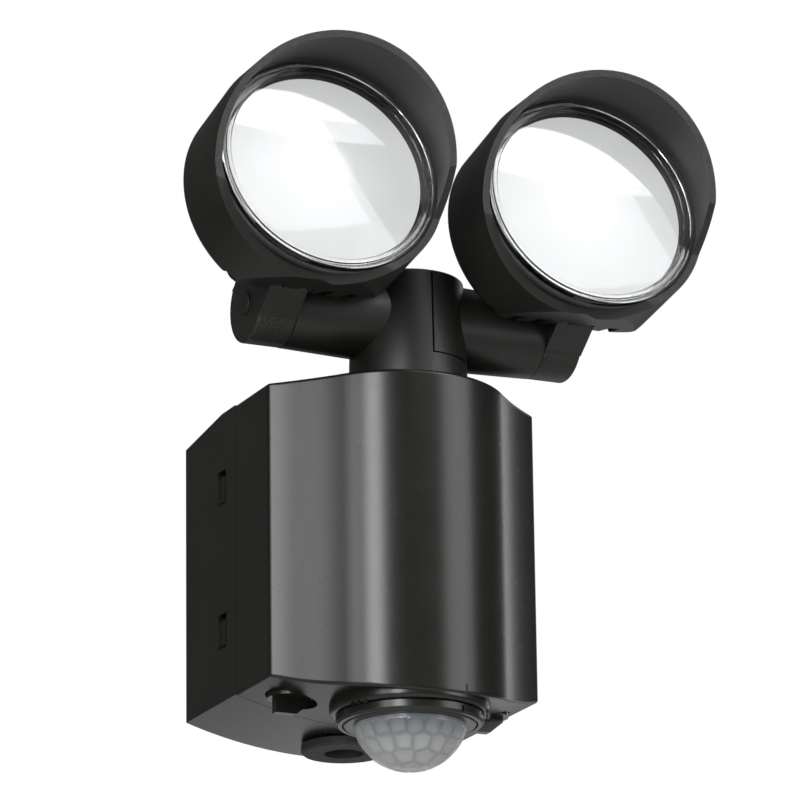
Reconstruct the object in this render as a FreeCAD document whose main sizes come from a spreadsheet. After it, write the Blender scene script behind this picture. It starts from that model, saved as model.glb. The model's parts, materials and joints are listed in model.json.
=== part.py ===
"""Motion sensor security light: a wall box with a curved cover, a swivelling column with two arms,
two tilting lamp heads with visors, and a turning motion sensor below.

Millimetres. X runs along the wall, -Y comes out of the wall, +Z is up. The origin is the middle of
the mounting face on the wall."""
import FreeCAD, Part
import math
import os
import re
import Sketcher

Vec = FreeCAD.Vector
doc = FreeCAD.newDocument("security_light")

SIZES = {
    # wall box and cover
    "half_width": 50.0,          # half of the housing's width
    "seam_depth": 43.7,          # wall to the seam between box and cover
    "corner_depth": 71.7,        # wall to the cover's side corners
    "front_depth": 102.6,        # wall to the middle of the curved front
    "bulge_radius": 40.0,        # radius of the curved front in plan
    "bulge_angle": 48.0,         # half of the angle that the curved front takes
    "shoulder_sag": 0.8,         # hollow of the two slanting shoulders
    "corner_height": 51.0,       # height of the side corners above the middle, and depth below it
    "rear_top": 46.8,            # height of the box's top edge at the wall
    "top_sag": 1.5,              # rise of the arched top
    "bottom_sag": 8.0,           # drop of the arched underside
    "shell_wall": 2.5,           # wall of the box and the cover
    "corner_round": 2.2,         # rounding of the cover's side corners
    "edge_round": 1.2,           # rounding of the cover's top and bottom edges
    "seam_gap": 0.3,             # gap between box and cover
    "gasket_width": 1.1,
    "gasket_inset": 0.7,
    "gasket_depth": 1.3,
    "fit_gap": 0.3,              # gap between pieces that lie close without touching
    "slip_gap": 0.1,             # radial clearance of a screw or a peg in its hole
    "turn_gap": 0.05,            # radial clearance of a turning fit
    # fixing holes in the wall box
    "fixing_x": 66.0,            # across, hole to hole
    "fixing_z": 72.0,            # up, hole to hole
    "fixing_radius": 2.5,
    # snap slots and hooks
    "slot_depth": 32.1,          # wall to the middle of a slot
    "slot_high": 24.6,           # height of the upper slots
    "slot_low": -26.2,           # height of the lower slots
    "slot_run": 7.0,             # slot size along the depth
    "slot_rise": 12.0,           # slot size up and down
    "hook_thickness": 2.0,
    "hook_rise": 9.0,
    "hook_barb": 1.6,
    "hook_root": 7.0,
    # cable entry
    "gland_depth": 21.0,         # wall to the middle of the cable entry
    "gland_flange": 14.8,
    "gland_neck": 11.5,
    "gland_recess": 6.8,
    "gland_flange_height": 3.0,
    # electrics in the box
    "post_radius": 3.2,
    "board_depth": 16.0,         # wall to the back of the driver board
    "board_thickness": 1.6,
    "board_half_width": 38.0,
    "board_low": -24.0,
    "board_high": 30.0,
    "board_post_inset": 5.0,
    "screw_radius": 1.5,
    "screw_head_radius": 2.8,
    "screw_head_height": 2.0,
    "screw_bite": 7.0,           # length of a small screw in its post
    "terminal_width": 32.0,
    "terminal_run": 13.0,
    "terminal_rise": 12.0,
    "terminal_low": -42.5,
    "terminal_pitch": 10.0,
    "terminal_entry_radius": 1.8,
    "terminal_screw_length": 6.2,
    "terminal_slot": 0.8,
    "terminal_slot_depth": 1.2,
    "terminal_screw_radius": 2.2,
    "clamp_width": 30.0,
    "clamp_rise": 6.0,
    "clamp_run": 3.0,
    "clamp_low": -50.5,
    "clamp_depth": 13.0,
    "clamp_pitch": 22.0,
    "saddle_radius": 5.0,
    "core_width": 24.0,          # transformer core and the bobbin through it
    "core_run": 9.0,
    "core_rise": 6.0,
    "bobbin_width": 18.0,
    "bobbin_run": 15.0,
    "bobbin_rise": 18.0,
    "transformer_x": -15.0,
    "relay_width": 15.0,
    "relay_run": 15.5,
    "relay_rise": 19.0,
    "relay_x": 11.5,
    "part_low": 4.0,             # underside of the bobbin and the relay
    "smoothing_radius": 6.0,
    "smoothing_length": 20.0,
    "smoothing_x": -12.0,
    "lower_parts": -12.0,        # height of the two capacitors
    "filter_width": 18.0,
    "filter_run": 12.0,
    "filter_rise": 8.0,
    "filter_x": 11.0,
    "fuse_radius": 2.6,
    "fuse_length": 18.0,
    "fuse_x": 8.0,
    "fuse_z": 26.6,
    # motion sensor
    "sensor_depth": 75.0,        # wall to the sensor's axis
    "sensor_boss_radius": 27.2,
    "sensor_boss_low": -61.0,
    "sensor_boss_top": -53.5,
    "sensor_boss_round": 1.8,
    "sensor_neck_radius": 20.5,
    "sensor_neck_wall": 2.0,
    "sensor_neck_top": -50.6,
    "sensor_ring_radius": 25.0,
    "sensor_ring_low": -64.4,
    "sensor_recess_radius": 22.9,
    "sensor_recess_depth": 2.0,
    "dome_radius": 18.9,
    "dome_low": -80.0,           # lowest point of the dome
    "dome_belt": 1.6,            # straight side of the dome below the sensor's ring
    "dome_wall": 1.0,
    "dome_flange_height": 0.8,
    "sensor_board_thickness": 1.4,
    "sensor_board_low": -59.6,
    "pir_radius": 4.6,
    "pir_height": 4.2,
    "retainer_height": 1.4,
    "retainer_reach": 2.6,
    "groove_depth": 0.8,
    "mark_width": 0.9,
    "mark_x": 8.5,               # index mark on the ring and notch in the cover, off the middle
    "mark_notch": 2.4,
    "tick_height": 1.0,          # ticks' height below the sensor boss
    # setting knobs
    "knob_x": 36.0,
    "knob_depth": 58.0,
    "knob_radius": 8.2,
    "knob_play": 0.6,            # radial room around a knob in its pocket
    "knob_boss_wall": 2.0,
    "knob_pocket_top": -52.2,
    "knob_height": 2.1,
    "blade_length": 12.6,
    "blade_thickness": 3.2,
    "blade_height": 5.4,
    "blade_slope": 5.0,          # length of the sloping lower edge at the blade's pointing end
    "stem_radius": 3.0,
    "control_low": -43.0,        # underside of the control board
    "control_half_width": 44.0,
    "control_run": 16.0,
    "pot_side": 11.0,
    "pot_height": 6.0,
    "control_post_x": 21.0,
    # column and arms
    "column_depth": 77.3,        # wall to the column's axis
    "column_top_radius": 19.3,
    "column_foot_radius": 20.4,
    "column_top": 90.5,
    "column_bore": 13.0,
    "column_roof": 4.0,
    "column_slit": 0.7,
    "column_round": 1.4,
    "pedestal_low": 52.9,
    "pedestal_top": 60.6,
    "step_gap": 0.5,             # gap between the pedestal and the right half column
    "arm_height": 76.5,          # height of the arms' axis
    "arm_root_radius": 15.2,
    "arm_tip_radius": 13.8,
    "arm_reach": 46.4,           # column axis to the end of an arm
    "arm_bore": 10.0,
    "arm_end_wall": 5.0,
    "stud_radius": 8.0,
    "stud_bore": 5.0,
    "stud_low": 36.5,
    "stud_bite": 6.0,
    "cap_boss_radius": 15.0,
    "cap_boss_low": 45.0,
    "nut_radius": 13.5,
    "nut_height": 5.0,
    "washer_radius": 13.0,
    "washer_height": 1.2,
    "joining_offset": 16.0,      # joining screws behind the column's axis
    "joining_low": 65.0,
    "joining_high": 86.0,
    "joining_length": 17.0,
    "joining_seat": 4.0,         # from the screw's end of travel back to its head's seat
    "joining_end_gap": 0.5,
    # tilting knuckle
    "knuckle_gap": 0.3,
    "knuckle_end": 60.5,         # column axis to the knuckle's outer face
    "knuckle_radius": 13.7,
    "knuckle_round": 1.0,
    "pivot_radius": 2.5,
    "pivot_head_radius": 3.9,
    "pivot_head_height": 3.2,
    "pivot_recess": 7.5,
    "pivot_washer_height": 0.8,
    "plug_radius": 4.2,
    "plug_depth": 2.6,
    "plug_proud": 0.7,
    # lamp head, in its own frame: local Z is the light's direction, Y is up, and the origin is on
    # the arms' axis
    "lamp_x": 49.0,              # column axis to the lamp's axis
    "lamp_tilt": 10.9,           # rest tilt of the lamps, upwards
    "lamp_rise": 27.2,           # lamp axis above the arms' axis
    "lens_front": 49.4,          # arms' axis to the lens's front face
    "bowl_radius": 41.6,
    "bowl_shoulder": 24.0,
    "bowl_back": 15.0,
    "bowl_back_radius": 32.0,
    "bowl_sag": 1.6,
    "bowl_floor": 28.0,
    "neck_top": 22.0,
    "neck_foot": 2.0,            # neck's lower front edge below the arms' axis
    "relief_slope": 21.0,        # slope of the flat under the bowl, which clears the arm
    "relief_start": 5.0,         # from the lens's front face back to where that flat starts
    "relief_rise": 1.5,          # from the rim's lowest point up to the flat's start
    "tube_clearance": 16.0,
    "fin_count": 7,
    "fin_pitch": 9.0,
    "fin_slot": 3.4,
    "fin_slot_floor": 24.5,
    "rim_radius": 42.1,
    "visor_wall": 2.4,
    "rim_height": 1.5,           # lower rim in front of the lens's face
    "visor_reach": 10.1,         # visor at the lamp's sides, in front of the lens's face
    "visor_rake": 21.4,          # slope of the visor's cut
    "visor_roll": 24.0,          # turn of that cut about the lamp's axis
    "visor_long": 29.0,
    "visor_taper": 3.4,
    "visor_end_drop": 15.0,      # visor's lowest points below the lamp's axis
    "visor_end_slope": 42.0,     # lean of the cut that ends the visor there
    "lens_radius": 38.9,
    "lens_thickness": 2.4,
    "lens_step": 0.6,
    "lens_window": 35.2,
    "lens_groove": 37.0,         # inner radius of the groove in the lens's rim
    "lens_groove_width": 0.7,
    "diffuser_radius": 34.9,
    "diffuser_thickness": 1.2,
    "seal_height": 1.4,
    "seal_width": 3.0,
    "reflector_mouth": 35.2,
    "reflector_throat": 9.0,
    "reflector_wall": 1.0,
    "reflector_sag": 1.5,
    "led_board_radius": 29.0,
    "led_board_thickness": 1.6,
    "led_chip_side": 12.0,
    "led_chip_height": 1.2,
}

sheet = doc.addObject("Spreadsheet::Sheet", "Sizes")
for row, (alias, size) in enumerate(SIZES.items(), start=1):
    sheet.set(f"A{row}", alias)
    sheet.set(f"B{row}", str(size))
    sheet.setAlias(f"B{row}", alias)
doc.recompute()

UP = Vec(0, 0, 1)
CLOSE = 1e-3                     # two lengths this near count as the same
TURNS = {                        # how a primitive's own Z axis is turned
    "up": FreeCAD.Rotation(),
    "up_reversed": FreeCAD.Rotation(UP, 180),
    "along_x": FreeCAD.Rotation(Vec(0, 1, 0), 90),
    "outwards": FreeCAD.Rotation(Vec(1, 0, 0), 90),
}
pieces = []


def bound(text):
    """The expression with each size's alias written as a cell of the sheet."""
    return re.sub(r"[a-z_]+", lambda m: f"Sizes.{m.group()}" if m.group() in SIZES else m.group(), str(text))


def number(text):
    return float(sheet.evalExpression(bound(text)))


def bind(thing, prop, text):
    """Ties one property to an expression of the sizes."""
    thing.setExpression(prop, bound(text))


def put(thing, at, turn="up"):
    """Places a thing: each coordinate is an expression of the sizes."""
    thing.Placement = FreeCAD.Placement(Vec(*(number(text) for text in at)), TURNS[turn])
    for axis, text in zip("xyz", at):
        bind(thing, f"Placement.Base.{axis}", text)
    return thing


def primitive(kind, at, turn, **sizes):
    thing = doc.addObject(f"Part::{kind}", kind)
    for prop, text in sizes.items():
        bind(thing, prop, text)
    return put(thing, at, turn)


def cylinder(radius, length, at, turn="up"):
    return primitive("Cylinder", at, turn, Radius=radius, Height=length)


def cone(radius_start, radius_end, length, at, turn="up"):
    return primitive("Cone", at, turn, Radius1=radius_start, Radius2=radius_end, Height=length)


def block(size, at, turn="up"):
    return primitive("Box", at, turn, Length=size[0], Width=size[1], Height=size[2])


def centred_block(size, at):
    """A block whose middle is at x and y, and whose lowest face is at z."""
    x, y, z = at
    return block(size, (f"({x}) - ({size[0]}) / 2", f"({y}) - ({size[1]}) / 2", z))


def fuse(*things):
    joined = doc.addObject("Part::MultiFuse", "Joined")
    joined.Shapes = list(things)
    joined.Refine = True
    return joined


def cut(base, *tools):
    result = doc.addObject("Part::Cut", "Cut")
    result.Base = base
    result.Tool = tools[0] if len(tools) == 1 else fuse(*tools)
    result.Refine = True
    return result


def common(first, second):
    result = doc.addObject("Part::MultiCommon", "Shared")
    result.Shapes = [first, second]
    result.Refine = True
    return result


def ring(outer, inner, height, at, turn="up"):
    """A plain ring or sleeve."""
    return cut(cylinder(outer, height, at, turn), cylinder(inner, height, at, turn))


def piece(label, thing):
    """Names a finished sub-part."""
    thing.Label = label
    pieces.append(thing)
    return thing


def plane_sketch(body, role):
    sketch = body.newObject("Sketcher::SketchObject", "Outline")
    plane = [feature for feature in body.Origin.OriginFeatures if feature.Role == role][0]
    sketch.AttachmentSupport = [(plane, "")]
    sketch.MapMode = "FlatFace"
    return sketch


def draw(sketch, corners):
    """A closed outline. Each corner is (x, y) or (x, y, sag) in expressions of the sizes, where the
    sag is the rise of an arc to the next corner, positive to the left of the way there."""
    corners = [tuple(corner) + ("0",) * (3 - len(corner)) for corner in corners]
    points = [Vec(number(x), number(y), 0) for x, y, _ in corners]
    starts, ends = [], []
    for index, (x, y, sag) in enumerate(corners):
        here, there = points[index], points[(index + 1) % len(points)]
        if number(sag) == 0:
            edge = sketch.addGeometry(Part.LineSegment(here, there), False)
            starts.append((edge, 1))
            ends.append((edge, 2))
            continue
        left = UP.cross(there - here).normalize()
        middle = (here + there) * 0.5 + left * number(sag)
        edge = sketch.addGeometry(Part.Arc(here, middle, there), False)
        forward = (sketch.getPoint(edge, 1) - here).Length < CLOSE
        starts.append((edge, 1 if forward else 2))
        ends.append((edge, 2 if forward else 1))
    for index, (x, y, sag) in enumerate(corners):
        after = (index + 1) % len(corners)
        sketch.addConstraint(Sketcher.Constraint("Coincident", *ends[index], *starts[after]))
        for kind, axis, text in (("DistanceX", -2, x), ("DistanceY", -1, y)):
            if str(text) == "0":
                sketch.addConstraint(Sketcher.Constraint("PointOnObject", *starts[index], axis))
                continue
            tie = sketch.addConstraint(Sketcher.Constraint(kind, -1, 1, *starts[index], number(text)))
            bind(sketch, f"Constraints[{tie}]", text)
        if number(sag) != 0:
            next_x, next_y = corners[after][:2]
            chord = f"(({next_x}) - ({x}))^2 + (({next_y}) - ({y}))^2"
            radius = f"({chord}) / (8 * abs({sag})) + abs({sag}) / 2"
            tie = sketch.addConstraint(Sketcher.Constraint("Radius", starts[index][0], number(radius)))
            bind(sketch, f"Constraints[{tie}]", radius)


def padded(role, corners, length, midplane=False, backwards=False):
    """A body padded from an outline on one of its origin planes."""
    body = doc.addObject("PartDesign::Body", "Body")
    sketch = plane_sketch(body, role)
    draw(sketch, corners)
    pad = body.newObject("PartDesign::Pad", "Pad")
    pad.Profile = sketch
    bind(pad, "Length", length)
    pad.SideType = "Symmetric" if midplane else "One side"
    pad.Reversed = backwards
    sketch.Visibility = False
    return body


def turned(corners, at=("0", "0", "0"), turn="up"):
    """A body revolved about its own Z axis from an outline in radius and height."""
    body = doc.addObject("PartDesign::Body", "Body")
    sketch = plane_sketch(body, "XZ_Plane")
    draw(sketch, corners)
    revolution = body.newObject("PartDesign::Revolution", "Revolution")
    revolution.Profile = sketch
    revolution.ReferenceAxis = (sketch, ["V_Axis"])
    revolution.Angle = 360
    return put(body, at, turn)


def at_x(place):
    """A test that picks the circles in the plane across X at this place."""
    return lambda edge: isinstance(edge.Curve, Part.Circle) and abs(edge.Curve.Center.x - place) < CLOSE


def round_edges(body, radius, wanted):
    """Rounds the edges of a body's last feature that the test picks."""
    doc.recompute()
    names = [f"Edge{n}" for n, edge in enumerate(body.Shape.Edges, start=1) if wanted(edge)]
    base = body.Tip
    fillet = body.newObject("PartDesign::Fillet", "Rounding")
    fillet.Base = (base, names)
    bind(fillet, "Radius", radius)
    return body


def round_part(thing, radius, wanted):
    """Rounds the picked edges of a finished boolean."""
    doc.recompute()
    fillet = doc.addObject("Part::Fillet", "Rounded")
    fillet.Base = thing
    size = number(radius)
    fillet.Edges = [(n, size, size) for n, edge in enumerate(thing.Shape.Edges, start=1) if wanted(edge)]
    return fillet


def is_circle(edge, radius, z=None):
    """True for a full or part circle of this radius, at this height when one is given."""
    curve = edge.Curve
    if not isinstance(curve, Part.Circle) or abs(curve.Radius - number(radius)) > CLOSE:
        return False
    return z is None or abs(curve.Center.z - number(z)) < CLOSE


# ---------------------------------------------------------------- wall box and cover

UNDERSIDE = "-(corner_height + bottom_sag)"


def front_view(inset):
    """The housing seen from the front, drawn in by an inset: straight sides, arched top and bottom."""
    side = f"half_width - ({inset})"
    return [
        (f"-({side})", f"-(corner_height - ({inset}))", "-bottom_sag"),
        (side, f"-(corner_height - ({inset}))"),
        (side, f"corner_height - ({inset})", "-top_sag"),
        (f"-({side})", f"corner_height - ({inset})"),
    ]


def plan_view(inset, back):
    """The cover seen from above: straight sides, slanting hollow shoulders and a round bulge."""
    side = f"half_width - ({inset})"
    radius = f"(bulge_radius - ({inset}))"
    joint_x = f"{radius} * sin(bulge_angle)"
    joint_y = f"-(front_depth - ({inset}) - {radius} * (1 - cos(bulge_angle)))"
    corner_y = f"-(corner_depth - ({inset}) / 2)"
    return [
        (f"-({side})", back),
        (f"-({side})", corner_y, "shoulder_sag"),
        (f"-{joint_x}", joint_y, f"-{radius} * (1 - cos(bulge_angle))"),
        (joint_x, joint_y, "shoulder_sag"),
        (side, corner_y),
        (side, back),
    ]


def box_block(inset, back, front):
    """The wall box's outer form between two depths, with its top sloping down to the wall."""
    body = padded("XZ_Plane", front_view(inset), f"({front}) - ({back})")
    put(body, ("0", f"-({back})", "0"))
    top = f"corner_height + top_sag - ({inset})"
    slope = padded("YZ_Plane", [
        ("0", "-(corner_height + bottom_sag + 1)"),
        ("0", f"rear_top - ({inset})"),
        ("-seam_depth", top),
        ("-(seam_depth + 5)", top),
        ("-(seam_depth + 5)", "-(corner_height + bottom_sag + 1)"),
    ], "2 * half_width + 2", midplane=True)
    return common(body, slope)


def cover_block(inset, back):
    plan = padded("XY_Plane", plan_view(inset, back), "2 * (corner_height + bottom_sag + 1)", midplane=True)
    if inset == "0":
        def side_corner(edge):
            ends = [vertex.Point for vertex in edge.Vertexes]
            upright = len(ends) == 2 and abs(ends[0].x - ends[1].x) + abs(ends[0].y - ends[1].y) < CLOSE
            return upright and abs(ends[0].y + number("corner_depth")) < CLOSE
        round_edges(plan, "corner_round", side_corner)
    front = padded("XZ_Plane", front_view(inset), "front_depth + 5")
    return common(plan, front)


def post(x, z, reach):
    """A screw post standing in the box's back wall, up to this distance from the wall."""
    return cylinder("post_radius", f"{reach} - shell_wall / 2", (x, "-shell_wall / 2", z), "outwards")


def post_places():
    """Middles of the driver board's posts."""
    across = "board_half_width - board_post_inset"
    for x in (f"-({across})", across):
        for z in ("board_low + board_post_inset", "board_high - board_post_inset"):
            yield x, z


def clamp_places():
    return ["-clamp_pitch / 2", "clamp_pitch / 2"]


CLAMP_Z = "clamp_low + clamp_rise / 2"
SCREW_HOLE = "screw_radius + slip_gap"


def post_hole(x, z, reach):
    """The screw's hole in such a post."""
    return cylinder(SCREW_HOLE, "screw_bite + 1", (x, f"-({reach} - screw_bite)", z), "outwards")


def make_rear_box():
    outer = box_block("0", "0", "seam_depth")
    hollow = box_block("shell_wall", "shell_wall", "seam_depth + 3")
    tools = []
    for x in (-1, 1):
        for z in (-1, 1):
            at = (f"{x} * fixing_x / 2", "1", f"{z} * fixing_z / 2")
            tools.append(cylinder("fixing_radius", "shell_wall + 2", at, "outwards"))
        for height in ("slot_high", "slot_low"):
            size = ("shell_wall + 4", "slot_run", "slot_rise")
            at = (f"{x} * half_width", "-slot_depth", f"{height} - slot_rise / 2")
            tools.append(centred_block(size, at))
    tools.append(cylinder("gland_neck + slip_gap", "4 * shell_wall + bottom_sag",
                          ("0", "-gland_depth", f"{UNDERSIDE} - 2 * shell_wall")))
    groove = cut(box_block("gasket_inset", "seam_depth - gasket_depth", "seam_depth + 1"),
                 box_block("gasket_inset + gasket_width", "seam_depth - gasket_depth - 1", "seam_depth + 2"))
    tools.append(groove)
    shell = cut(outer, hollow, *tools)
    posts = [post(x, z, "board_depth") for x, z in post_places()]
    posts += [post(x, CLAMP_Z, "clamp_depth") for x in clamp_places()]
    holes = [post_hole(x, z, "board_depth") for x, z in post_places()]
    holes += [post_hole(x, CLAMP_Z, "clamp_depth") for x in clamp_places()]
    return piece("rear_box", cut(fuse(shell, *posts), *holes))


def make_gasket():
    back = "seam_depth - gasket_depth"
    front = "seam_depth + seam_gap"
    outer = box_block("gasket_inset + turn_gap", back, front)
    inner = box_block("gasket_inset + gasket_width - turn_gap", f"{back} - 1", f"{front} + 1")
    return piece("seam_gasket", cut(outer, inner))


def hook(side, height):
    """One snap hook of the cover: a root in the cover, a tongue and a barb in the box's slot."""
    inner = "half_width - shell_wall"
    left = f"{inner} - fit_gap - hook_thickness"
    parts = []
    root_front = "seam_depth + seam_gap + hook_root"
    for low, high, near, far in (
        (left, f"{inner} + 0.5", "seam_depth + seam_gap + 0.5", root_front),
        (left, f"{inner} - fit_gap", "slot_depth - slot_run / 2 + fit_gap", root_front),
        (left, f"{inner} - fit_gap + hook_barb", "slot_depth - slot_run / 2 + fit_gap", "slot_depth"),
    ):
        width = f"({high}) - ({low})"
        run = f"({far}) - ({near})"
        middle = f"{side} * (({high}) + ({low})) / 2"
        parts.append(centred_block((width, run, "hook_rise"), (middle, f"-(({far}) + ({near})) / 2",
                                                                 f"{height} - hook_rise / 2")))
    return parts


def tick_marks():
    """Two groups of three raised ticks on the sensor boss, left and right."""
    middle_turn, step_turn = 65, 6
    reach = "((sensor_boss_radius + sensor_ring_radius + 2 * fit_gap) / 2)"
    size = ("mark_width", "mark_width", "tick_height + 2 * fit_gap")
    marks = []
    for side in (-1, 1):
        for step in (-1, 0, 1):
            turn = f"({side * middle_turn + step * step_turn})"
            at = (f"{reach} * sin{turn}", f"-(sensor_depth + {reach} * cos{turn})",
                  "sensor_boss_low - 2 * fit_gap")
            marks.append(centred_block(size, at))
    return marks


def make_front_cover():
    back = "-(seam_depth + seam_gap)"
    shell = cut(cover_block("0", back), cover_block("shell_wall", "-(seam_depth - 2)"))
    shell = round_part(shell, "edge_round", front_rim_edge)
    sensor_boss = cylinder("sensor_boss_radius", "sensor_boss_top - sensor_boss_low",
                           ("0", "-sensor_depth", "sensor_boss_low"))
    sensor_boss = round_part(sensor_boss, "sensor_boss_round",
                             lambda edge: is_circle(edge, "sensor_boss_radius", "sensor_boss_low"))
    behind_seam = centred_block(("2 * half_width", "2 * half_width", "2 * corner_height"),
                                ("0", f"{back} + half_width", "-2 * corner_height"))
    sensor_boss = cut(sensor_boss, behind_seam)
    cap_boss = cylinder("cap_boss_radius", "corner_height + top_sag / 2 - cap_boss_low",
                        ("0", "-column_depth", "cap_boss_low"))
    additions = [sensor_boss, cap_boss] + tick_marks()
    removals = [
        cylinder("sensor_neck_radius + turn_gap", "30", ("0", "-sensor_depth", "sensor_boss_low - 10")),
        cylinder("sensor_neck_radius + retainer_reach + fit_gap", "retainer_height + 3 * fit_gap",
                 ("0", "-sensor_depth", "sensor_boss_top")),
        cylinder("stud_radius + turn_gap", "30", ("0", "-column_depth", "cap_boss_low - 5")),
        centred_block(("mark_width", "mark_notch", "mark_notch + 1"), ("mark_x", "-front_depth", UNDERSIDE)),
    ]
    pocket = "knob_radius + knob_play"
    for side in (-1, 1):
        for height in ("slot_high", "slot_low"):
            additions += hook(side, height)
        at = (f"{side} * knob_x", "-knob_depth")
        pot_underside = "control_low - pot_height"
        boss = cylinder(f"{pocket} + knob_boss_wall", f"{pot_underside} - fit_gap - ({UNDERSIDE})",
                        (*at, UNDERSIDE))
        additions.append(common(boss, cover_block("shell_wall / 2", back)))
        removals.append(cylinder("stem_radius + turn_gap", "40", (*at, UNDERSIDE)))
        removals.append(cylinder(pocket, f"knob_pocket_top - ({UNDERSIDE}) + 1", (*at, f"{UNDERSIDE} - 1")))
        post_at = (f"{side} * control_post_x", "-knob_depth")
        additions.append(cylinder("post_radius", "control_low + corner_height + bottom_sag / 2",
                                  (*post_at, "-(corner_height + bottom_sag / 2)")))
        removals.append(cylinder(SCREW_HOLE, "screw_bite + 1", (*post_at, "control_low - screw_bite")))
    return piece("front_cover", cut(fuse(shell, *additions), *removals))


def front_rim_edge(edge):
    """Top edges of the cover's curved front and shoulders and the bottom edge of its front, outside."""
    rounding = number("edge_round")
    box = edge.BoundBox
    level = abs(box.ZMin + box.ZMax) / 2 > number("corner_height") - 2.5 * rounding
    in_front = box.YMax < rounding * 2 / 3 - number("corner_depth")
    middle = edge.valueAt((edge.FirstParameter + edge.LastParameter) / 2)
    across = abs(middle.x)
    radius = number("bulge_radius")
    bulge = number("front_depth") - radius + math.sqrt(max(radius ** 2 - across ** 2, 0))
    on_bulge = across < radius * math.sin(math.radians(number("bulge_angle")))
    on_skin = -middle.y > bulge - rounding or not on_bulge
    return level and in_front and on_skin and abs(middle.z) > number("corner_height") - rounding / 6


# ---------------------------------------------------------------- cable entry and electrics

def make_cable_gland():
    """Rubber grommet: a broad flange below, a neck through the floor and a lip inside."""
    low = f"{UNDERSIDE} - fit_gap - gland_flange_height"
    floor = f"{UNDERSIDE} + shell_wall"
    lip = "gland_neck + 1.6"
    body = turned([
        ("gland_recess", low),
        ("gland_flange - 0.8", low),
        ("gland_flange", f"{low} + 0.8"),
        ("gland_flange", f"{UNDERSIDE} - fit_gap"),
        ("gland_neck", f"{UNDERSIDE} - fit_gap"),
        ("gland_neck", f"{floor} + 0.8"),
        (lip, f"{floor} + 0.8"),
        ("gland_neck", f"{floor} + 3"),
        ("0", f"{floor} + 3"),
        ("0", f"{floor} + 1.6"),
        ("gland_recess - 1", f"{floor} + 1.6"),
        ("gland_recess", floor),
    ], ("0", "-gland_depth", "0"))
    return piece("cable_gland", body)


def make_terminal_block():
    body = centred_block(("terminal_width", "terminal_run", "terminal_rise"),
                         ("0", "-(shell_wall + terminal_run / 2)", "terminal_low"))
    holes = []
    screws = []
    for step in (-1, 0, 1):
        x = f"{step} * terminal_pitch"
        front = "-(shell_wall + terminal_run)"
        z = "terminal_low + terminal_rise * 0.62"
        holes.append(cylinder("terminal_screw_radius + slip_gap", "terminal_run",
                              (x, f"{front} + terminal_run / 2", z), "outwards"))
        entry_z = "terminal_low - 1"
        holes.append(cylinder("terminal_entry_radius", "terminal_rise / 2 + 1",
                              (x, "-(shell_wall + terminal_run * 0.35)", entry_z)))
        screws.append(cylinder("terminal_screw_radius", "terminal_screw_length",
                               (x, f"{front} + terminal_run / 2", z), "outwards"))
    piece("terminal_block", cut(body, *holes))
    tip = "-(shell_wall + terminal_run / 2 + terminal_screw_length)"
    slots = [centred_block(("terminal_slot", "2 * terminal_slot_depth", "3 * terminal_screw_radius"),
                           (f"{step} * terminal_pitch", tip,
                            "terminal_low + terminal_rise * 0.62 - 1.5 * terminal_screw_radius"))
             for step in (-1, 0, 1)]
    piece("terminal_screws", cut(fuse(*screws), *slots))


def screw(at, head_from, turn="outwards"):
    """A pan-head screw: the shank runs against its turn's direction from the head's seat."""
    bite = "(screw_bite - 1)"
    x, y, z = at
    if turn == "outwards":
        shank = cylinder("screw_radius", f"{bite} + {head_from}", (x, f"({y}) + {bite}", z), turn)
        head = cylinder("screw_head_radius", "screw_head_height", (x, f"({y}) - {head_from}", z), turn)
    else:
        shank = cylinder("screw_radius", f"{bite} + {head_from}", (x, y, f"({z}) - {bite}"), turn)
        head = cylinder("screw_head_radius", "screw_head_height", (x, y, f"({z}) + {head_from}"), turn)
    return fuse(shank, head)


def make_cable_clamp():
    bar = centred_block(("clamp_width", "clamp_run", "clamp_rise"),
                        ("0", "-(clamp_depth + clamp_run / 2)", "clamp_low"))
    saddle = cylinder("saddle_radius", "clamp_rise + 2", ("0", "-(clamp_depth - 3)", "clamp_low - 1"))
    holes = [cylinder(SCREW_HOLE, "clamp_run + 2", (x, "-(clamp_depth - 1)", CLAMP_Z), "outwards")
             for x in clamp_places()]
    piece("cable_clamp", cut(bar, saddle, *holes))
    screws = [screw((x, "-clamp_depth", CLAMP_Z), "clamp_run") for x in clamp_places()]
    piece("clamp_screws", doc_compound(screws))


def doc_compound(things):
    """Several separate solids that share one sub-part."""
    group = doc.addObject("Part::Compound", "Group")
    group.Links = things
    return group


def make_driver():
    plate = block(("2 * board_half_width", "board_thickness", "board_high - board_low"),
                  ("-board_half_width", "-(board_depth + board_thickness)", "board_low"))
    holes = [cylinder(SCREW_HOLE, "board_thickness + 2", (x, "-(board_depth - 1)", z), "outwards")
             for x, z in post_places()]
    piece("driver_board", cut(plate, *holes))
    screws = [screw((x, "-board_depth", z), "board_thickness") for x, z in post_places()]
    piece("driver_screws", doc_compound(screws))
    front = "-(board_depth + board_thickness)"
    core = centred_block(("core_width", "core_run", "core_rise"),
                         ("transformer_x", f"{front} - bobbin_run + core_run / 2",
                          "part_low + (bobbin_rise - core_rise) / 2"))
    bobbin = centred_block(("bobbin_width", "bobbin_run", "bobbin_rise"),
                           ("transformer_x", f"{front} - bobbin_run / 2", "part_low"))
    piece("transformer", fuse(core, bobbin))
    piece("relay", centred_block(("relay_width", "relay_run", "relay_rise"),
                                 ("relay_x", f"{front} - relay_run / 2", "part_low")))
    piece("smoothing_capacitor", cylinder("smoothing_radius", "smoothing_length",
                                          ("smoothing_x", front, "lower_parts"), "outwards"))
    piece("filter_capacitor", centred_block(("filter_width", "filter_run", "filter_rise"),
                                            ("filter_x", f"{front} - filter_run / 2",
                                             "lower_parts - filter_rise / 2")))
    bead = cylinder("fuse_radius", "fuse_length", ("fuse_x", f"{front} - fuse_radius", "fuse_z"), "along_x")
    piece("fuse_link", bead)


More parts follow.
